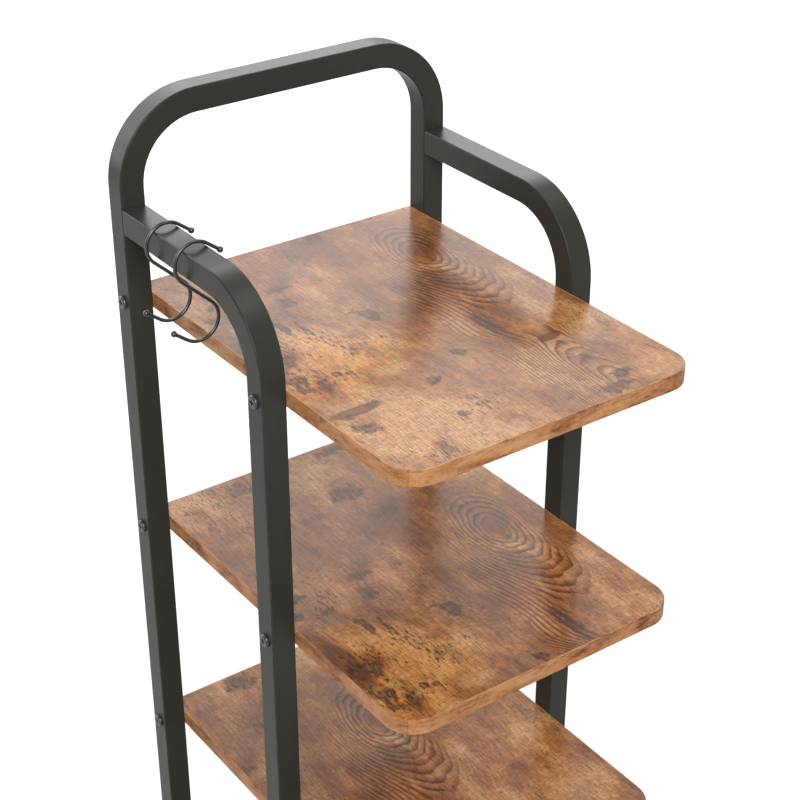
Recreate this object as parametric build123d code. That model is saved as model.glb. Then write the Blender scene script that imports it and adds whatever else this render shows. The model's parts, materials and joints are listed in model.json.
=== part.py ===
from build123d import *
import math
import os

# Narrow upright shoe rack: boards screwed between four square-tube posts.
# The two rear posts and the top bar are one bent hoop. Each front post bends back at its
# top into a side arm that is welded to the rear post. Two S-hooks hang on the left arm.
# Millimetres. X runs across the rack, -Y is its front, +Z is up.
# The origin is on the floor, at the middle of the overall box: halfway along the depth of
# the boards, and a little left of the rack's own middle because the hooks stand out there.

# The rack as a whole
rack_width = 298.0
rack_height = 1475.0
frame_depth = 210.0
hoop_rise = 155.0
arm_rise = 73.0

# Square steel tube
tube = 20.0
tube_wall = 1.2
tube_edge = 1.2
tube_inner_edge = 0.6
bend_outer = 68.0

# Boards, with their edge banding
shelf_count = 7
lowest_shelf = 90.0
shelf_depth = 350.0
shelf_thick = 13.0
shelf_front_corner = 25.0
shelf_rear_corner = 2.0
band_thick = 0.8
band_round = 0.35
glue_line = 0.1

# Screws through the posts, and the threaded inserts that they bite in
screw_d = 6.0
screw_length = 35.0
screw_tip = 0.8
screw_head_d = 11.0
screw_head_h = 2.6
screw_dome = 1.6
screw_play = 0.3
recess_span = 5.6
recess_slot = 1.3
recess_depth = 1.5
insert_d = 9.0
insert_length = 12.0
insert_fit = 0.1
thread_fit = 0.1
bore_spare = 5.0

# Sleeves that join the upper and lower posts, under the lowest board on the upper posts
upper_shelf_count = 4
seam_drop = 22.0
sleeve_wall = 1.5
sleeve_fit = 0.2
sleeve_up = 62.0
sleeve_down = 45.0

# Plastic plugs in the post ends
plug_flange = 2.0
plug_length = 24.0
plug_core = 14.6
plug_fin = 1.2
plug_fins = 4
plug_fit = 0.2

# Levelling feet
foot_disc_d = 20.0
foot_disc_h = 5.0
foot_disc_round = 1.2
foot_hex = 13.0
foot_hex_h = 5.0
stud_d = 6.0
stud_length = 27.0
stud_socket = 7.0
stud_tip = 0.8
stud_fit = 0.05

# S-hooks of bent wire with a ball on each end
wire_d = 2.8
hook_ball_d = 4.8
hook_loop = 16.6
hook_loop_gap = 45.3
hook_tail = 13.5
hook_tail_angle = 53.0
hook_seat_gap = 0.3
hook_setback = 48.0
hook_spacing = 41.0

# Length by which a cut runs past what it cuts
overrun = 1.0

# Places that follow from the sizes above
LEFT = -1
RIGHT = 1
half_width = rack_width / 2
post_x = half_width - tube / 2
inside_x = half_width - tube
rear_face = shelf_depth / 2
rear_y = rear_face - tube / 2
front_y = rear_y - (frame_depth - tube)
rear_post_front = rear_face - tube
top_shelf = rack_height - hoop_rise
shelf_pitch = (top_shelf - lowest_shelf) / (shelf_count - 1)
shelf_tops = [top_shelf - n * shelf_pitch for n in range(shelf_count)]
arm_top = top_shelf + arm_rise
bend_radius = bend_outer - tube / 2
seam_z = shelf_tops[upper_shelf_count - 1] - shelf_thick - seam_drop
post_foot = foot_disc_h + foot_hex_h + plug_flange
corners = {
    "rear_left": (LEFT, rear_y),
    "rear_right": (RIGHT, rear_y),
    "front_left": (LEFT, front_y),
    "front_right": (RIGHT, front_y),
}
UP_FROM_BASE = (Align.CENTER, Align.CENTER, Align.MIN)
DOWN_FROM_TOP = (Align.CENTER, Align.CENTER, Align.MAX)


def screw_z(shelf_top):
    return shelf_top - shelf_thick / 2


def tube_section(size, edge):
    return RectangleRounded(size, size, edge)


def swept_tube(path, start_plane):
    outside = sweep(start_plane * tube_section(tube, tube_edge), path=path)
    bore = tube - 2 * tube_wall
    inside = sweep(start_plane * tube_section(bore, tube_inner_edge), path=path)
    return outside - inside


def straight_tube(size, wall, edge, inner_edge, length):
    outside = extrude(tube_section(size, edge), amount=length)
    bore = size - 2 * wall
    inside = extrude(tube_section(bore, inner_edge), amount=length)
    return outside - inside


def across_hole(x, y, z, diameter, length):
    hole = Cylinder(radius=diameter / 2, height=length)
    return Pos(x, y, z) * Rot(Y=90) * hole


def drill_post(solid, side, y, tops):
    for top in tops:
        hole_d = screw_d + 2 * screw_play
        solid -= across_hole(side * post_x, y, screw_z(top), hole_d, tube + 2 * overrun)
    return solid


# Rear hoop: both upper rear posts and the top bar
def rear_hoop():
    bar_z = rack_height - tube / 2
    path = FilletPolyline(
        (-post_x, rear_y, seam_z),
        (-post_x, rear_y, bar_z),
        (post_x, rear_y, bar_z),
        (post_x, rear_y, seam_z),
        radius=bend_radius,
    )
    start = Plane(origin=(-post_x, rear_y, seam_z), x_dir=(1, 0, 0), z_dir=(0, 0, 1))
    hoop = swept_tube(path, start)
    for side in (LEFT, RIGHT):
        hoop = drill_post(hoop, side, rear_y, shelf_tops[:upper_shelf_count])
    return hoop


# Side arm: back bar, bend and upper front post in one tube
def side_arm(side):
    x = side * post_x
    bar_z = arm_top - tube / 2
    path = FilletPolyline(
        (x, rear_post_front, bar_z),
        (x, front_y, bar_z),
        (x, front_y, seam_z),
        radius=bend_radius,
    )
    start = Plane(origin=(x, rear_post_front, bar_z), x_dir=(1, 0, 0), z_dir=(0, -1, 0))
    arm = swept_tube(path, start)
    return drill_post(arm, side, front_y, shelf_tops[:upper_shelf_count])


def lower_post(side, y):
    post = straight_tube(tube, tube_wall, tube_edge, tube_inner_edge, seam_z - post_foot)
    post = Pos(side * post_x, y, post_foot) * post
    return drill_post(post, side, y, shelf_tops[upper_shelf_count:])


def joint_sleeve(side, y):
    size = tube - 2 * tube_wall - 2 * sleeve_fit
    sleeve = straight_tube(size, sleeve_wall, tube_inner_edge, tube_inner_edge, sleeve_up + sleeve_down)
    sleeve = Pos(side * post_x, y, seam_z - sleeve_down) * sleeve
    return drill_post(sleeve, side, y, shelf_tops[upper_shelf_count - 1:upper_shelf_count])


# Outline of a board, drawn in from its finished edge by an inset
def board_outline(inset):
    width = 2 * inside_x - 2 * inset
    depth = shelf_depth - 2 * inset
    outline = Rectangle(width, depth)
    front = outline.vertices().group_by(Axis.Y)[0]
    outline = fillet(front, shelf_front_corner - inset)
    rear = outline.vertices().group_by(Axis.Y)[-1]
    return fillet(rear, shelf_rear_corner - inset)


def drill_board(solid, top):
    depth = insert_length + bore_spare
    for side, y in corners.values():
        middle = side * (inside_x - depth / 2 + overrun / 2)
        hole_d = insert_d + 2 * insert_fit
        solid -= across_hole(middle, y, screw_z(top), hole_d, depth + overrun)
    return solid


def shelf_board(top):
    board = extrude(board_outline(band_thick + glue_line), amount=shelf_thick)
    return drill_board(Pos(0, 0, top - shelf_thick) * board, top)


def edge_band(top):
    band = extrude(board_outline(0) - board_outline(band_thick), amount=shelf_thick)
    by_height = band.faces().sort_by(Axis.Z)
    rims = by_height[0].outer_wire().edges() + by_height[-1].outer_wire().edges()
    band = fillet(rims, band_round)
    return drill_board(Pos(0, 0, top - shelf_thick) * band, top)


# Pan-head screw along its own Z, with the underside of the head at zero
def pan_screw():
    head = Cylinder(radius=screw_head_d / 2, height=screw_head_h, align=UP_FROM_BASE)
    head = fillet(head.edges().group_by(Axis.Z)[-1], screw_dome)
    slot = Box(recess_span, recess_slot, recess_depth, align=DOWN_FROM_TOP)
    for turn in (0, 90):
        head -= Pos(0, 0, screw_head_h) * Rot(Z=turn) * slot
    shank = Cylinder(radius=screw_d / 2, height=screw_length, align=DOWN_FROM_TOP)
    shank = chamfer(shank.edges().group_by(Axis.Z)[0], screw_tip)
    return head + shank


def threaded_insert():
    insert = Cylinder(radius=insert_d / 2, height=insert_length, align=DOWN_FROM_TOP)
    bore = screw_d + 2 * thread_fit
    return insert - Cylinder(radius=bore / 2, height=2 * insert_length + overrun)


def at_shelf_corners(piece, x, top):
    placed = []
    for side, y in corners.values():
        seat = Plane(origin=(side * x, y, screw_z(top)), x_dir=(0, 1, 0), z_dir=(side, 0, 0))
        placed.append(seat * piece)
    return Compound(placed)


# Plug along its own Z, with the post end at zero and the flange below it
def post_plug():
    flange = extrude(tube_section(tube, tube_edge), amount=-plug_flange)
    core = extrude(tube_section(plug_core, tube_inner_edge), amount=plug_length)
    plug = flange + core
    fin_size = tube - 2 * tube_wall - 2 * plug_fit
    fin = extrude(tube_section(fin_size, tube_inner_edge), amount=plug_fin)
    fin_step = (plug_length - plug_fin) / plug_fins
    for n in range(plug_fins):
        plug += Pos(0, 0, (n + 1) * fin_step) * fin
    bore = stud_d + 2 * stud_fit
    return plug - Cylinder(radius=bore / 2, height=2 * (plug_length + plug_flange + overrun))


# Foot on the floor: a round disc under a hexagon for the spanner
def foot_pad():
    disc = Cylinder(radius=foot_disc_d / 2, height=foot_disc_h, align=UP_FROM_BASE)
    disc = fillet(disc.edges().group_by(Axis.Z)[-1], foot_disc_round)
    hexagon = RegularPolygon(radius=foot_hex / 2, side_count=6, major_radius=False)
    collar = extrude(hexagon, amount=foot_disc_h + foot_hex_h)
    socket_base = foot_disc_h + foot_hex_h - stud_socket
    socket = Cylinder(radius=stud_d / 2 + stud_fit, height=stud_socket + overrun, align=UP_FROM_BASE)
    return disc + collar - Pos(0, 0, socket_base) * socket


def foot_stud():
    base = foot_disc_h + foot_hex_h - stud_socket
    stud = Cylinder(radius=stud_d / 2, height=stud_length, align=UP_FROM_BASE)
    stud = chamfer(stud.edges().group_by(Axis.Z)[-1], stud_tip)
    return Pos(0, 0, base) * stud


# Point at an angle on a loop of the hook, in the plane of the hook
def loop_point(centre_z, angle):
    turn = math.radians(angle)
    return (-post_x + hook_loop * math.cos(turn), centre_z + hook_loop * math.sin(turn))


# Height of the upper loop, where its wire rests on both top edges of the arm
def hook_seat():
    reach = hook_loop - wire_d / 2 - hook_seat_gap - tube_edge
    spread = tube / 2 - tube_edge
    return arm_top - tube_edge - math.sqrt(reach ** 2 - spread ** 2)


# S-hook across the arm: two loops, the straight that crosses between them, and two tails
def s_hook(y):
    upper = hook_seat()
    lower = upper - hook_loop_gap
    lean = math.degrees(math.acos(2 * hook_loop / hook_loop_gap))
    leave = 270 - lean
    over = (hook_tail_angle + leave) / 2
    tail = math.radians(hook_tail_angle)
    start = loop_point(upper, hook_tail_angle)
    tail_x = hook_tail * math.sin(tail)
    tail_z = hook_tail * math.cos(tail)
    top_ball = (start[0] + tail_x, start[1] - tail_z)
    finish = loop_point(lower, hook_tail_angle + 180)
    low_ball = (finish[0] - tail_x, finish[1] + tail_z)
    cross_start = loop_point(upper, leave)
    cross_end = loop_point(lower, leave + 180)
    runs = [
        Line(top_ball, start),
        ThreePointArc(start, loop_point(upper, over), cross_start),
        Line(cross_start, cross_end),
        ThreePointArc(cross_end, loop_point(lower, over + 180), finish),
        Line(finish, low_ball),
    ]
    hook_plane = Plane(origin=(0, y, 0), x_dir=(1, 0, 0), z_dir=(0, -1, 0))
    path = hook_plane * Wire(Curve() + runs)
    section = Plane(origin=path @ 0, z_dir=path % 0) * Circle(wire_d / 2)
    hook = sweep(section, path=path)
    for ball in (top_ball, low_ball):
        hook += Pos(ball[0], y, ball[1]) * Sphere(radius=hook_ball_d / 2)
    return hook


def build_parts():
    parts = {"rear_hoop": rear_hoop()}
    parts["side_arm_left"] = side_arm(LEFT)
    parts["side_arm_right"] = side_arm(RIGHT)
    for name, (side, y) in corners.items():
        foot = Pos(side * post_x, y, 0)
        parts["lower_post_" + name] = lower_post(side, y)
        parts["joint_sleeve_" + name] = joint_sleeve(side, y)
        parts["post_plug_" + name] = foot * Pos(0, 0, post_foot) * post_plug()
        parts["foot_stud_" + name] = foot * foot_stud()
        parts["foot_pad_" + name] = foot * foot_pad()
    for n, top in enumerate(shelf_tops, start=1):
        parts[f"shelf_{n}_board"] = shelf_board(top)
        parts[f"shelf_{n}_edge_band"] = edge_band(top)
        parts[f"shelf_{n}_screws"] = at_shelf_corners(pan_screw(), half_width, top)
        parts[f"shelf_{n}_inserts"] = at_shelf_corners(threaded_insert(), inside_x, top)
    hook_rear_y = rear_post_front - hook_setback
    parts["s_hook_rear"] = s_hook(hook_rear_y)
    parts["s_hook_front"] = s_hook(hook_rear_y - hook_spacing)
    return parts


# Distance from the rack's middle to the origin, halfway between the ends of the hooks on
# the left and the screw heads on the right
def middle_x():
    tail = math.radians(hook_tail_angle)
    hook_half = hook_loop * math.cos(tail) + hook_tail * math.sin(tail) + hook_ball_d / 2
    return (post_x + hook_half - half_width - screw_head_h) / 2


os.makedirs("parts", exist_ok=True)
for node, shape in build_parts().items():
    export_step(Pos(middle_x(), 0, 0) * shape, "parts/" + node + ".step")
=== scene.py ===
import json
import math

import bpy
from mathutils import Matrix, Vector


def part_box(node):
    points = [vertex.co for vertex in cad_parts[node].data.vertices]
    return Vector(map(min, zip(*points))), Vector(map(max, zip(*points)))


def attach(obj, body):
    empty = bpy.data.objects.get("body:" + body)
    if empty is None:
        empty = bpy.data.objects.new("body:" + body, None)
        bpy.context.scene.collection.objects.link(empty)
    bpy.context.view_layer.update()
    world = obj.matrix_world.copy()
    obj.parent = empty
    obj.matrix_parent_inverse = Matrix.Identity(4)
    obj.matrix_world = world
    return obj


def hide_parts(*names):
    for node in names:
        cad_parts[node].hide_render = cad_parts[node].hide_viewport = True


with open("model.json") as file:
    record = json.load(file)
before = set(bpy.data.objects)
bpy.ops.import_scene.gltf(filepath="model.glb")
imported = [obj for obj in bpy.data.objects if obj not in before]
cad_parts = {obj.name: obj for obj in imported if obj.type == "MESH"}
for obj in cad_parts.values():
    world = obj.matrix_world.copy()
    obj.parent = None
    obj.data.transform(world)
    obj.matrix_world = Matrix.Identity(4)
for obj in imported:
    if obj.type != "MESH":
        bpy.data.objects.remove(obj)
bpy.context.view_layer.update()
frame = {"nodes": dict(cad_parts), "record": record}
nodes = frame["nodes"]

MM_PER_M = 1000.0
SHELVES = 7

# Places read from the frame, in metres
board_low, board_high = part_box("shelf_1_board")
MIDDLE_X = (board_low[0] + board_high[0]) / 2
SEAM_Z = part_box("lower_post_rear_left")[1][2]
ARM_BUTT_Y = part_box("side_arm_left")[1][1]

# Camera at the photograph's place and angle, in metres, degrees and mm
CAMERA_AT = (-0.68423, -0.94607, 1.91860)
CAMERA_PITCH = 29.592
CAMERA_YAW = 35.798
CAMERA_LENS = 79.78
CAMERA_SENSOR = 36.0
CAMERA_FAR = 100.0

# Soft lamps: name, place, point aimed at, size in metres, and watts
LAMPS = [
    ("key", (-1.75, -2.6, 3.2), (0, 0, 0.9), (2.4, 2.0), 208.0),
    ("back", (0.3, 4.2, 3.75), (0, 0, 1.0), (8.0, 1.6), 242.0),
    ("back_top", (2.9, 3.9, 5.1), (0, 0, 1.1), (3.6, 1.7), 84.0),
    ("back_left", (-2.2, 3.5, 2.1), (0, 0, 1.3), (1.0, 2.2), 44.0),
    ("back_high", (-0.2, 3.3, 4.7), (0, 0, 1.3), (1.4, 0.8), 30.0),
    ("over", (1.25, -0.6, 4.0), (0, 0, 1.2), (2.6, 0.5), 34.0),
]
SKY_LEVEL = 0.08

# The floor lies just under the feet when they are screwed all the way out
FLOOR_Z = -0.0125
FLOOR_HALF = 30.0
FLOOR_GREY = 0.32
# It turns white between these two distances from the rack
WHITE_FROM = 0.8
WHITE_TO = 4.5
WHITE_NEAR = 0.60
WHITE_FAR = 0.99

# Foot stud thread, in metres; the crest and flank are shares of half a turn
THREAD_PITCH = 0.001
THREAD_DEPTH = 0.0006
THREAD_CREST = 0.15
THREAD_FLANK = 0.7
THREAD_STEPS = 8
THREAD_SIDES = 24
STUD_TIP = 0.0008

# Heights of the surfaces' fine relief, in metres
PRINT_RELIEF = 0.00004
BAND_RELIEF = 0.00003
COAT_RELIEF = 0.00003
METAL_RELIEF = 0.00002
SCRATCH_RELIEF = 0.00001
PLASTIC_RELIEF = 0.00004

# How strongly the surfaces mirror
PRINT_SPECULAR = 0.065
BAND_SPECULAR = 0.08
COAT_SPECULAR = 0.11

# Colours, linear
WHITE = (1.0, 1.0, 1.0, 1.0)
PALE = (0.418, 0.220, 0.091, 1.0)
TAN = (0.320, 0.133, 0.042, 1.0)
BROWN = (0.224, 0.082, 0.025, 1.0)
UMBER = (0.122, 0.040, 0.013, 1.0)
ASH = (0.155, 0.085, 0.050, 1.0)
GREY = (0.049, 0.022, 0.012, 1.0)
BLACKISH = (0.034, 0.013, 0.007, 1.0)
GOLD_TINT = (1.17, 1.06, 0.84, 1.0)
RING_TINT = (0.31, 0.22, 0.175, 1.0)
BAND_WORN = (0.070, 0.032, 0.015, 1.0)
BAND_SEAM = (0.090, 0.036, 0.016, 1.0)
COAT_SEAM = (0.002, 0.002, 0.002, 1.0)

# Colours from dark to light, each with its place on the ramp
PRINT_STOPS = [(0.24, UMBER), (0.385, BROWN), (0.51, TAN), (0.65, PALE)]
BAND_STOPS = [
    (0.30, (0.114, 0.041, 0.016, 1.0)),
    (0.43, (0.268, 0.110, 0.043, 1.0)),
    (0.54, (0.364, 0.168, 0.072, 1.0)),
    (0.70, (0.440, 0.228, 0.104, 1.0)),
]
COAT_STOPS = [(0.3, (0.0225, 0.0228, 0.0190, 1.0)), (0.7, (0.0265, 0.0268, 0.0225, 1.0))]
PLASTIC_STOPS = [(0.35, (0.016, 0.016, 0.017, 1.0)), (0.7, (0.026, 0.026, 0.027, 1.0))]

# How far each board's print is shifted across and along, in mm
PRINT_SHIFT = [(0, 0), (-2, -108), (-79, -46), (14, 62), (-38, -160), (22, -84), (-64, 24)]
# Where the clouds of tone are taken from the noise, in mm
CLOUD_AT = (610, -240, 0)

# The tables below give the centre and the reach of soft ovals on the print, in mm.
# Dark worn marks
MARKS = [
    ((-14, 28), (17, 24)),
    ((-49, 102), (16, 11)),
    ((-54, 78), (10, 26)),
    ((-50, -129), (9, 10)),
    ((-112, -108), (18, 14)),
    ((-112, 6), (24, 22)),
    ((-115, -30), (13, 34)),
    ((-101, -43), (11, 16)),
    ((-87, -34), (9, 7)),
    ((-78, -36), (7, 7)),
    ((-80, 48), (9, 20)),
    ((-68, 34), (4, 22)),
    ((-114, 83), (12, 12)),
    ((-104, 101), (11, 8)),
    ((-93, 75), (8, 8)),
    ((3, -62), (10, 11)),
    ((-35, -85), (12, 10)),
    ((46, -36), (10, 32)),
    ((77, -152), (28, 9)),
    ((62, -166), (24, 11)),
    ((71, -117), (6, 12)),
    ((24, 165), (20, 16)),
    ((10, 205), (24, 22)),
    ((40, 274), (34, 14)),
    ((-58, 264), (24, 18)),
    ((-117, -88), (15, 6)),
    ((-93, -83), (13, 4)),
]
# Scorched brown patches with a darker rim
SCORCHES = [
    ((-120, 14), (14, 40)),
    ((-106, -85), (28, 7)),
    ((70, -75), (14, 7)),
]
# Broad patches of a darker, greyer brown: partly the print's own, partly painted shade where less light
# falls at the back and around the knot
SHADES = [
    ((-20, 140), (90, 50)),
    ((-26, -80), (44, 44)),
    ((48, -50), (12, 56)),
    ((-30, 120), (80, 70)),
    ((10, 66), (46, 44)),
    ((84, 92), (44, 60)),
    ((-108, 6), (40, 34)),
    ((70, 150), (60, 50)),
    ((100, 60), (40, 50)),
    ((60, 50), (40, 60)),
    ((-38, 74), (44, 58)),
    ((-108, -96), (24, 16)),
    ((-42, -104), (24, 24)),
]
# Broad paler patches: partly the print's own, partly painted light towards the front left, where the
# key light falls
LIGHTS = [
    ((-98, -12), (62, 84)),
    ((-84, -124), (76, 90)),
    ((100, -50), (36, 80)),
    ((-60, -20), (40, 34)),
    ((100, -150), (40, 40)),
    ((36, -18), (50, 50)),
    ((-48, -52), (26, 22)),
]
# More golden patches: partly the print's own colour, partly painted light at the front left
GOLDS = [
    ((-98, -12), (66, 88)),
    ((-60, -20), (44, 40)),
]
# Places where short black ticks crowd together
TICK_BEDS = [
    ((-100, -30), (40, 42)),
    ((-108, 14), (34, 34)),
    ((-62, 10), (34, 60)),
    ((-90, 250), (70, 60)),
    ((-95, -160), (40, 26)),
    ((-30, -125), (30, 26)),
    ((-90, 90), (34, 26)),
]
# Places where the rings stand out
RING_BEDS = [
    ((81, 96), (44, 76)),
    ((68, 26), (50, 60)),
    ((36, -60), (26, 210)),
    ((72, -112), (40, 76)),
]
# The knot, the arches below it and the rings, in mm
KNOT_AT = (81.0, 96.0)
KNOT_PERIOD = 330.0
CORE_REACH = 12.0
ARCH_HEIGHT = 58.0
ARCH_FALL = 0.25
ARCH_SHIFT = 11.0
ARCH_SQUEEZE = 1.8
RING_STEP = 4.6
RING_WANDER = 4.5
RING_RIPPLE = 0.9

# Edge banding, in mm: where the strip's ends meet, counted along it from the boards' middle,
# how far the boards reach on the diagonal, how far apart opposite edges lie in the noise, and
# how far along the strip the next board's piece starts
BAND_END = 46.0
BAND_DIAGONAL = 304.0
BAND_SIDES = 12.0
BAND_STEP = 71.0


class Nodes:
    """A node tree, with its nodes added one call at a time."""

    def __init__(self, tree):
        self.tree = tree

    def feed(self, socket, value):
        if isinstance(value, bpy.types.NodeSocket):
            self.tree.links.new(value, socket)
        else:
            socket.default_value = value

    def node(self, kind, feeds, **settings):
        made = self.tree.nodes.new("ShaderNode" + kind)
        for key, value in settings.items():
            setattr(made, key, value)
        for key, value in feeds.items():
            self.feed(made.inputs[key], value)
        return made

    def place(self, scale, shift=(0, 0, 0)):
        """Coordinates in mm, each axis scaled and then shifted."""
        where = self.node("TexCoord", {}).outputs["Object"]
        size = tuple(MM_PER_M * s for s in scale)
        return self.node("Mapping", {"Vector": where, "Scale": size, "Location": shift}).outputs[0]

    def axes(self, vector):
        return self.node("SeparateXYZ", {0: vector}).outputs

    def stretch(self, vector, scale):
        return self.node("VectorMath", {0: vector, 1: scale}, operation="MULTIPLY").outputs[0]

    def moved(self, vector, by):
        return self.node("VectorMath", {0: vector, 1: by}, operation="ADD").outputs[0]

    def length(self, vector):
        return self.node("VectorMath", {0: vector}, operation="LENGTH").outputs["Value"]

    def calc(self, operation, *values):
        feeds = dict(enumerate(values))
        return self.node("Math", feeds, operation=operation).outputs[0]

    def times(self, first, second):
        return self.calc("MULTIPLY", first, second)

    def raised(self, base, value, amount):
        return self.calc("MULTIPLY_ADD", value, amount, base)

    def swayed(self, base, noise, amount):
        """The base, raised where the noise is above its middle and lowered where it is below."""
        return self.raised(base, self.calc("SUBTRACT", noise, 0.5), amount)

    def noise_node(self, vector, scale, detail, rough, flat):
        feeds = {"Vector": vector, "Scale": scale, "Detail": detail, "Roughness": rough}
        return self.node("TexNoise", feeds, noise_dimensions="2D" if flat else "3D")

    def noise(self, vector, scale, detail=2.0, rough=0.5, flat=True):
        """Noise from 0 to 1; a scale of three numbers differs by axis."""
        if isinstance(scale, tuple):
            vector = self.stretch(vector, scale)
            scale = 1.0
        return self.noise_node(vector, scale, detail, rough, flat).outputs["Fac"]

    def warped(self, vector, scale, reach, detail=2.0, flat=True):
        """The vector pushed about by a noise, at most about half the reach each way."""
        colour = self.noise_node(vector, scale, detail, 0.5, flat).outputs["Color"]
        centred = self.node("VectorMath", {0: colour, 1: (0.5, 0.5, 0.5)}, operation="SUBTRACT")
        return self.moved(vector, self.stretch(centred.outputs[0], reach))

    def fit(self, value, low, high, to_low=0.0, to_high=1.0):
        feeds = {"Value": value, "From Min": low, "From Max": high, "To Min": to_low, "To Max": to_high}
        return self.node("MapRange", feeds, interpolation_type="SMOOTHSTEP").outputs[0]

    def ramp(self, value, stops):
        made = self.node("ValToRGB", {"Fac": value})
        line = made.color_ramp.elements
        while len(line) < len(stops):
            line.new(1.0)
        for element, (at, colour) in zip(line, stops):
            element.position = at
            element.color = colour
        return made.outputs[0]

    def mix(self, factor, first, second, blend="MIX"):
        feeds = {0: factor, 6: first, 7: second}
        return self.node("Mix", feeds, data_type="RGBA", blend_type=blend).outputs[2]

    def bump(self, height, distance, strength):
        feeds = {"Height": height, "Distance": distance, "Strength": strength}
        return self.node("Bump", feeds).outputs[0]

    def spot(self, vector, centre, reach):
        """One at the middle of an oval, falling to nothing at its rim."""
        offset = self.moved(vector, (-centre[0], -centre[1], 0))
        shaped = self.stretch(offset, (1 / reach[0], 1 / reach[1], 0))
        return self.fit(self.length(shaped), 1.0, 0.0)

    def spots(self, vector, ovals):
        """The strongest of several ovals."""
        total = self.spot(vector, *ovals[0])
        for oval in ovals[1:]:
            total = self.calc("MAXIMUM", total, self.spot(vector, *oval))
        return total

    def seen(self):
        """One for the rays that show the background, nothing for those that light the rack."""
        rays = self.node("LightPath", {}).outputs
        direct = self.calc("MAXIMUM", rays["Is Camera Ray"], rays["Is Glossy Ray"])
        return self.calc("MAXIMUM", direct, rays["Is Transmission Ray"])


class Surface(Nodes):
    """A procedural material."""

    def __init__(self, name):
        self.material = bpy.data.materials.new(name)
        self.material.use_nodes = True
        super().__init__(self.material.node_tree)
        self.shader = self.tree.nodes["Principled BSDF"]

    def shade(self, **feeds):
        for key, value in feeds.items():
            self.feed(self.shader.inputs[key.replace("_", " ")], value)


def ground_colour(s, loose, ragged, smudge):
    """Soft clouds from dark to pale brown, with greyer and more golden patches, some of them painted
    shade and painted light.
    """
    cloud = s.noise(s.moved(ragged, CLOUD_AT), (0.015, 0.010, 1), 5.0, 0.6)
    streak = s.noise(loose, (0.30, 0.030, 1), 5.0, 0.62)
    shades = s.spots(ragged, SHADES)
    lights = s.spots(ragged, LIGHTS)
    golds = s.spots(ragged, GOLDS)
    tone = s.swayed(cloud, smudge, 0.55)
    tone = s.swayed(tone, streak, 0.22)
    # Painted shade and painted light, mixed with the print's own darker and paler patches, lower and
    # raise the tone
    tone = s.raised(tone, shades, -0.205)
    tone = s.raised(tone, lights, 0.20)
    colour = s.ramp(tone, PRINT_STOPS)
    wash = s.noise(ragged, (0.016, 0.014, 1), 4.0, 0.6)
    wash = s.fit(s.raised(wash, shades, 0.10), 0.50, 0.72, 0.16, 0.55)
    wash = s.times(wash, s.fit(lights, 0.0, 0.8, 1.0, 0.55))
    wash = s.times(wash, s.fit(golds, 0.0, 0.8, 1.0, 0.20))
    colour = s.mix(wash, colour, ASH)
    return s.mix(s.fit(golds, 0.0, 0.6), colour, GOLD_TINT, "MULTIPLY")


def ring_lines(s, flat, loose, ripple):
    """Rings round the knot, opening into long arches down the board, and the knot's core."""
    parts = s.axes(loose)
    across = s.calc("SUBTRACT", parts[0], KNOT_AT[0])
    along = s.calc("SUBTRACT", parts[1], KNOT_AT[1])
    across = s.calc("ADD", across, s.fit(along, -70.0, -190.0, 0.0, ARCH_SHIFT))
    across = s.times(across, s.fit(along, -140.0, -185.0, 1.0, ARCH_SQUEEZE))
    arch = s.calc("ABSOLUTE", s.calc("SINE", s.times(along, math.pi / KNOT_PERIOD)))
    arch = s.times(arch, ARCH_HEIGHT)
    slope = s.calc("MULTIPLY_ADD", along, ARCH_FALL, ARCH_HEIGHT + ARCH_FALL * KNOT_PERIOD / 2)
    arch = s.calc("MINIMUM", arch, slope)
    growth = s.calc("SQRT", s.calc("ADD", s.times(across, across), s.times(arch, arch)))
    growth = s.calc("ADD", growth, s.fit(across, -16.0, -70.0, 0.0, 14.0))
    growth = s.calc("ADD", growth, s.fit(across, 16.0, 60.0, 0.0, 24.0))
    growth = s.swayed(growth, s.noise(flat, (0.06, 0.040, 1)), RING_WANDER)
    growth = s.swayed(growth, ripple, RING_RIPPLE)
    core = s.fit(growth, CORE_REACH, 5.0)

    # Each line darkens slowly outwards and ends sharply
    phase = s.calc("FRACT", s.calc("DIVIDE", growth, RING_STEP))
    ring = s.times(s.fit(phase, 0.25, 0.90), s.fit(phase, 1.0, 0.90))
    reach = s.fit(s.spots(loose, RING_BEDS), 0.0, 0.4, 0.16, 1.0)
    vary = s.noise(loose, (0.05, 0.016, 1), 3.0, 0.6)
    ring = s.times(ring, s.times(reach, s.fit(vary, 0.32, 0.54, 0.70, 1.0)))
    return s.times(ring, s.fit(core, 0.0, 1.0, 1.0, 0.25)), core


def worn_marks(s, ragged, rim):
    """Dark marks with ragged rims, broken up by the grain."""
    tatter = s.noise(ragged, (0.12, 0.07, 1), 6.0, 0.68)
    marks = s.fit(s.swayed(s.spots(ragged, MARKS), tatter, 2.2), 0.37, 0.58)
    stray = s.fit(s.noise(ragged, (0.027, 0.018, 1), 5.0, 0.6), 0.60, 0.70, 0.0, 0.6)
    marks = s.calc("MAXIMUM", marks, stray)
    marks = s.calc("MAXIMUM", marks, s.times(rim, 0.85))
    crumb = s.noise(ragged, (0.34, 0.20, 1), 4.0, 0.65)
    return s.times(marks, s.fit(crumb, 0.42, 0.60, 1.0, 0.55))


def black_ticks(s, flat, loose, ragged):
    """Short strokes along the grain, most of them crowded together."""
    tick = s.noise(loose, (0.50, 0.13, 1), 4.0, 0.6)
    tick = s.raised(tick, s.spots(ragged, TICK_BEDS), 0.13)
    tick = s.swayed(tick, s.noise(flat, (0.05, 0.035, 1)), 0.30)
    return s.fit(tick, 0.67, 0.725)


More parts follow.
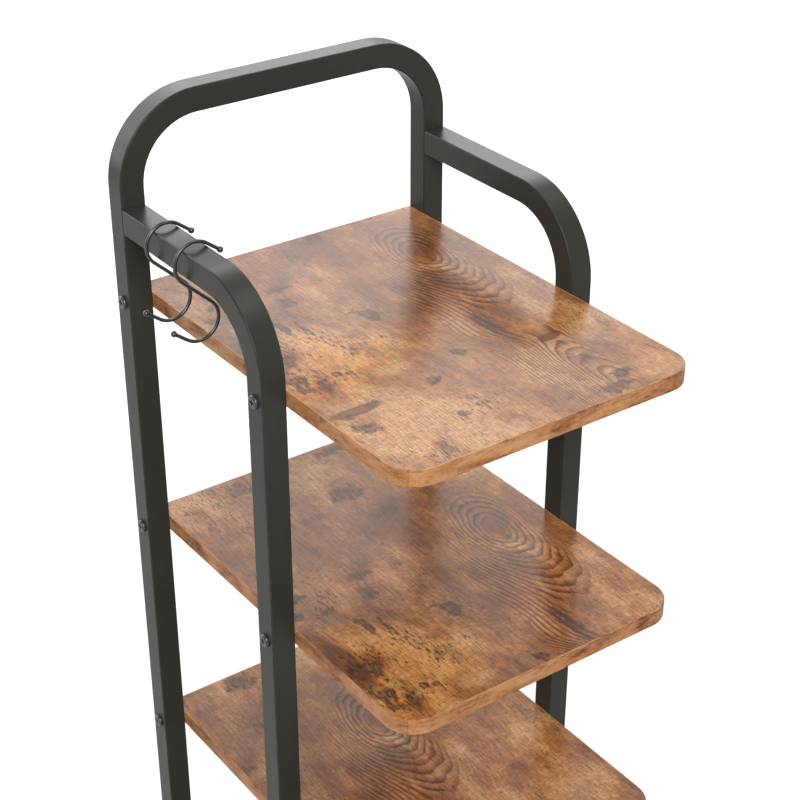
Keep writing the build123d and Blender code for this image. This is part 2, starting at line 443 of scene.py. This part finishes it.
def wood_print(s, flat):
    """Colour, roughness and height of a worn brown wood print, grain along the second axis."""
    loose = s.warped(flat, 0.010, (10, 22, 0), detail=1.5)
    ragged = s.warped(loose, 0.09, (7, 10, 0), detail=4.0)
    smudge = s.noise(ragged, (0.045, 0.022, 1), 5.0, 0.62)
    fibre = s.noise(loose, (0.70, 0.055, 1), 3.0, 0.65)
    ripple = s.noise(flat, (0.12, 0.72, 1), 3.0, 0.65)

    colour = ground_colour(s, loose, ragged, smudge)
    ring, core = ring_lines(s, flat, loose, ripple)
    colour = s.mix(s.times(core, s.fit(smudge, 0.36, 0.58, 0.15, 0.75)), colour, UMBER)
    colour = s.mix(ring, colour, RING_TINT, "MULTIPLY")

    # Fine fibres and cross ripples
    grain = s.times(s.fit(fibre, 0.34, 0.62, 0.66, 1.20), s.fit(ripple, 0.34, 0.64, 0.80, 1.14))
    shade = s.node("CombineColor", {0: grain, 1: grain, 2: grain}).outputs[0]
    colour = s.mix(1.0, colour, shade, "MULTIPLY")

    scorch = s.swayed(s.spots(loose, SCORCHES), fibre, 1.1)
    rim = s.times(s.fit(scorch, 0.08, 0.16), s.fit(scorch, 0.70, 0.40, 0.25, 1.0))
    colour = s.mix(s.times(s.fit(scorch, 0.12, 0.5), 0.75), colour, UMBER)
    worn = worn_marks(s, ragged, rim)
    colour = s.mix(s.times(worn, 0.95), colour, GREY)
    tick = black_ticks(s, flat, loose, ragged)
    colour = s.mix(s.times(tick, 0.85), colour, BLACKISH)

    rough = s.raised(s.raised(0.19, fibre, 0.10), worn, 0.05)
    height = s.raised(s.raised(fibre, ring, -0.4), tick, -0.8)
    return colour, rough, height


def board_material(n):
    s = Surface(f"board_{n}")
    shift = PRINT_SHIFT[n - 1]
    flat = s.place((1, 1, 0), (-MIDDLE_X * MM_PER_M - shift[0], -shift[1], 0))
    colour, rough, height = wood_print(s, flat)
    s.shade(Base_Color=colour, Roughness=rough, Normal=s.bump(height, PRINT_RELIEF, 0.5))
    s.shade(Specular_IOR_Level=PRINT_SPECULAR)
    return s.material


def band_material(n):
    """Edge banding, its grain along the edge; the strip's two ends meet at the front left corner."""
    s = Surface(f"edge_band_{n}")
    parts = s.axes(s.place((1, 1, 1), (-MIDDLE_X * MM_PER_M, 0, 0)))
    along = s.calc("SUBTRACT", parts[0], parts[1])
    diagonal = s.calc("ADD", parts[0], parts[1])
    side = s.fit(diagonal, -BAND_DIAGONAL, BAND_DIAGONAL, 0.0, BAND_SIDES)
    places = {0: s.calc("ADD", along, BAND_STEP * n), 1: parts[2], 2: side}
    flat = s.node("CombineXYZ", places).outputs[0]
    loose = s.warped(flat, 0.03, (24, 3, 0), flat=False)
    cloud = s.noise(loose, (0.024, 0.085, 1), 5.0, 0.62, flat=False)
    mottle = s.noise(loose, (0.24, 0.50, 1), 4.0, 0.7, flat=False)
    streak = s.noise(loose, (0.05, 0.75, 1), 3.0, 0.65, flat=False)
    tone = s.swayed(s.swayed(cloud, streak, 0.40), mottle, 0.55)

    # The two sides of the joint differ a little; the right tip is darker, which is painted shade
    end = s.calc("SUBTRACT", along, BAND_END)
    left = s.times(s.fit(end, 0.3, -0.3), s.fit(end, -330.0, -90.0))
    right = s.times(s.fit(end, -0.3, 0.3), s.fit(end, 160.0, 30.0))
    tone = s.raised(tone, left, 0.02)
    tone = s.raised(tone, right, 0.05)
    # Painted shade: the band darkens towards its right tip, where less light falls
    tone = s.raised(tone, s.fit(end, 190.0, 260.0), -0.10)
    colour = s.ramp(tone, BAND_STOPS)

    ragged = s.warped(loose, 0.2, (5, 2, 0), detail=3.0, flat=False)
    blotch = s.noise(ragged, (0.034, 0.10, 1), 6.0, 0.66, flat=False)
    worn = s.times(s.fit(blotch, 0.60, 0.68), s.fit(mottle, 0.36, 0.6, 1.0, 0.4))
    colour = s.mix(s.times(worn, 0.65), colour, BAND_WORN)
    seam = s.fit(s.calc("ABSOLUTE", end), 0.45, 0.15, 0.0, 0.6)
    colour = s.mix(seam, colour, BAND_SEAM)
    rough = s.raised(0.26, streak, 0.14)
    s.shade(Base_Color=colour, Roughness=rough, Normal=s.bump(streak, BAND_RELIEF, 0.5))
    s.shade(Specular_IOR_Level=BAND_SPECULAR)
    return s.material


def powder_coat(name, butt_y=None):
    """Charcoal satin powder coat with a slight orange peel, and lines where tubes meet."""
    s = Surface(name)
    spot = s.place((1, 1, 1))
    peel = s.noise(spot, 0.55, 3.0, flat=False)
    grit = s.noise(spot, 2.6, flat=False)
    colour = s.ramp(s.noise(spot, 0.02, 3.0, flat=False), COAT_STOPS)
    parts = s.axes(spot)
    from_seam = s.calc("ABSOLUTE", s.calc("SUBTRACT", parts[2], SEAM_Z * MM_PER_M))
    seam = s.fit(from_seam, 0.35, 0.12)
    if butt_y is not None:
        from_butt = s.calc("ABSOLUTE", s.calc("SUBTRACT", parts[1], butt_y * MM_PER_M))
        seam = s.calc("MAXIMUM", seam, s.fit(from_butt, 0.55, 0.20))
    colour = s.mix(seam, colour, COAT_SEAM)
    rough = s.raised(s.raised(0.28, grit, 0.10), seam, 0.4)
    relief = s.raised(peel, seam, -1.5)
    s.shade(Base_Color=colour, Roughness=rough, Normal=s.bump(relief, COAT_RELIEF, 0.35))
    s.shade(Specular_IOR_Level=COAT_SPECULAR)
    return s.material


def black_metal(name, base, rough_from):
    """Blackened steel, slightly cloudy and uneven in its gloss."""
    s = Surface(name)
    spot = s.place((1, 1, 1))
    fine = s.noise(spot, 1.6, 3.0, 0.6, flat=False)
    light = tuple(1.6 * c for c in base[:3]) + (1.0,)
    colour = s.ramp(s.noise(spot, 0.12, 3.0, flat=False), [(0.35, base), (0.7, light)])
    rough = s.raised(rough_from, fine, 0.14)
    s.shade(Base_Color=colour, Roughness=rough, Normal=s.bump(fine, METAL_RELIEF, 0.4))
    return s.material


def bare_metal(name, dark, light, rough_from):
    """Plated or mill steel with cloudy spangle and fine scratches."""
    s = Surface(name)
    spot = s.place((1, 1, 1))
    feeds = {"Vector": s.warped(spot, 0.3, (2, 2, 2), flat=False), "Scale": 0.45}
    cell = s.node("TexVoronoi", feeds).outputs["Color"]
    patch = s.node("SeparateColor", {0: cell}).outputs[0]
    scratch = s.noise(spot, (0.5, 0.5, 6.0), 3.0, 0.6, flat=False)
    blend = s.raised(s.times(patch, 0.5), scratch, 0.5)
    colour = s.ramp(blend, [(0.25, dark), (0.75, light)])
    rough = s.raised(rough_from, blend, 0.2)
    relief = s.bump(scratch, SCRATCH_RELIEF, 0.4)
    s.shade(Base_Color=colour, Roughness=rough, Metallic=1.0, Normal=relief)
    return s.material


def moulded_plastic(name):
    """Black plastic with a fine moulded grain."""
    s = Surface(name)
    spot = s.place((1, 1, 1))
    grain = s.noise(spot, 3.2, 3.0, 0.6, flat=False)
    colour = s.ramp(s.noise(spot, 0.15, flat=False), PLASTIC_STOPS)
    rough = s.raised(0.42, grain, 0.18)
    s.shade(Base_Color=colour, Roughness=rough, Normal=s.bump(grain, PLASTIC_RELIEF, 0.6))
    return s.material


def dress(node, material):
    for place in nodes[node].material_slots:
        place.material = material


finishes = {
    "frame_powder_coat": powder_coat("powder_coat"),
    "sleeve_steel": bare_metal("sleeve_steel", (0.30, 0.30, 0.29, 1), (0.48, 0.48, 0.47, 1), 0.32),
    "plug_plastic": moulded_plastic("plug_plastic"),
    "foot_plastic": moulded_plastic("foot_plastic"),
    "stud_zinc": bare_metal("stud_zinc", (0.52, 0.53, 0.53, 1), (0.72, 0.72, 0.70, 1), 0.22),
    "insert_zinc": bare_metal("insert_zinc", (0.50, 0.47, 0.38, 1), (0.70, 0.66, 0.54, 1), 0.26),
    "screw_black": black_metal("screw_black", (0.012, 0.012, 0.012, 1.0), 0.22),
    "hook_black": black_metal("hook_black", (0.012, 0.012, 0.013, 1.0), 0.20),
}
for row in frame["record"]["subparts"]:
    finish = finishes.get(row["material_slot"])
    if finish is not None:
        dress(row["node"], finish)
arm_coat = powder_coat("powder_coat_arm", ARM_BUTT_Y)
dress("side_arm_left", arm_coat)
dress("side_arm_right", arm_coat)
for n in range(1, SHELVES + 1):
    dress(f"shelf_{n}_board", board_material(n))
    dress(f"shelf_{n}_edge_band", band_material(n))


def thread_points(low, high):
    """Rings of points up the stud, each in the thread's outline and tapering at the tip."""
    centre_x = (low[0] + high[0]) / 2
    centre_y = (low[1] + high[1]) / 2
    radius = (high[0] - low[0]) / 2
    rows = round((high[2] - low[2]) / THREAD_PITCH * THREAD_STEPS)
    points = []
    for row in range(rows + 1):
        up = row / THREAD_STEPS
        z = low[2] + up * THREAD_PITCH
        for k in range(THREAD_SIDES):
            groove = abs(2 * ((up - k / THREAD_SIDES) % 1.0) - 1)
            flank = min(1.0, max(0.0, (groove - THREAD_CREST) / THREAD_FLANK))
            reach = min(radius - THREAD_DEPTH * flank, radius - STUD_TIP + high[2] - z)
            turn = 2 * math.pi * k / THREAD_SIDES
            points.append((centre_x + reach * math.cos(turn), centre_y + reach * math.sin(turn), z))
    return points, rows


def threaded_stud(corner):
    """The foot's screw thread, in place of the plain stud and inside its outline."""
    points, rows = thread_points(*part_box(f"foot_stud_{corner}"))
    faces = [tuple(reversed(range(THREAD_SIDES)))]
    for row in range(rows):
        base = row * THREAD_SIDES
        for k in range(THREAD_SIDES):
            a = base + k
            b = base + (k + 1) % THREAD_SIDES
            faces.append((a, b, b + THREAD_SIDES, a + THREAD_SIDES))
    faces.append(tuple(rows * THREAD_SIDES + k for k in range(THREAD_SIDES)))
    mesh = bpy.data.meshes.new(f"threaded_stud_{corner}")
    mesh.from_pydata(points, [], faces)
    for face in mesh.polygons:
        face.use_smooth = len(face.vertices) == 4
    mesh.materials.append(finishes["stud_zinc"])
    piece = bpy.data.objects.new(f"threaded_stud_{corner}", mesh)
    bpy.context.scene.collection.objects.link(piece)
    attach(piece, f"foot_{corner}")
    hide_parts(f"foot_stud_{corner}")


for corner in ("rear_left", "rear_right", "front_left", "front_right"):
    threaded_stud(corner)


def floor():
    """A pale floor that keeps the rack's shadow and turns white away from it."""
    mesh = bpy.data.meshes.new("floor")
    rim = [(-1, -1), (1, -1), (1, 1), (-1, 1)]
    corners = [(x * FLOOR_HALF, y * FLOOR_HALF, FLOOR_Z) for x, y in rim]
    mesh.from_pydata(corners, [], [(0, 1, 2, 3)])
    plane = bpy.data.objects.new("floor", mesh)
    bpy.context.scene.collection.objects.link(plane)
    s = Surface("floor_pale")
    grey = (FLOOR_GREY, FLOOR_GREY, FLOOR_GREY, 1.0)
    s.shade(Base_Color=grey, Roughness=0.9, Emission_Color=WHITE)
    away = s.length(s.node("TexCoord", {}).outputs["Object"])
    white = s.fit(away, WHITE_FROM, WHITE_TO, WHITE_NEAR, WHITE_FAR)
    s.shade(Emission_Strength=s.times(s.seen(), white))
    mesh.materials.append(s.material)


def sky():
    """White where it is seen, and a faint even light on the rack."""
    world = bpy.data.worlds.new("studio")
    bpy.context.scene.world = world
    world.use_nodes = True
    s = Nodes(world.node_tree)
    s.tree.nodes.clear()
    lit = s.node("Background", {"Color": WHITE, "Strength": SKY_LEVEL}).outputs[0]
    shown = s.node("Background", {"Color": WHITE, "Strength": 1.0}).outputs[0]
    choose = s.node("MixShader", {0: s.seen(), 1: lit, 2: shown}).outputs[0]
    s.node("OutputWorld", {0: choose})


def softbox(name, at, aim, size, watts):
    data = bpy.data.lights.new(name, "AREA")
    data.shape = "RECTANGLE"
    data.size, data.size_y = size
    data.energy = watts
    lamp = bpy.data.objects.new(name, data)
    lamp.location = at
    lamp.rotation_euler = (Vector(aim) - Vector(at)).to_track_quat("-Z", "Y").to_euler()
    bpy.context.scene.collection.objects.link(lamp)


def camera():
    data = bpy.data.cameras.new("camera")
    data.lens = CAMERA_LENS
    data.sensor_width = CAMERA_SENSOR
    data.clip_end = CAMERA_FAR
    eye = bpy.data.objects.new("camera", data)
    eye.location = CAMERA_AT
    eye.rotation_euler = (math.radians(90 - CAMERA_PITCH), 0, math.radians(-CAMERA_YAW))
    bpy.context.scene.collection.objects.link(eye)
    bpy.context.scene.camera = eye


floor()
sky()
for lamp in LAMPS:
    softbox(*lamp)
camera()
bpy.context.scene.view_settings.view_transform = "Standard"
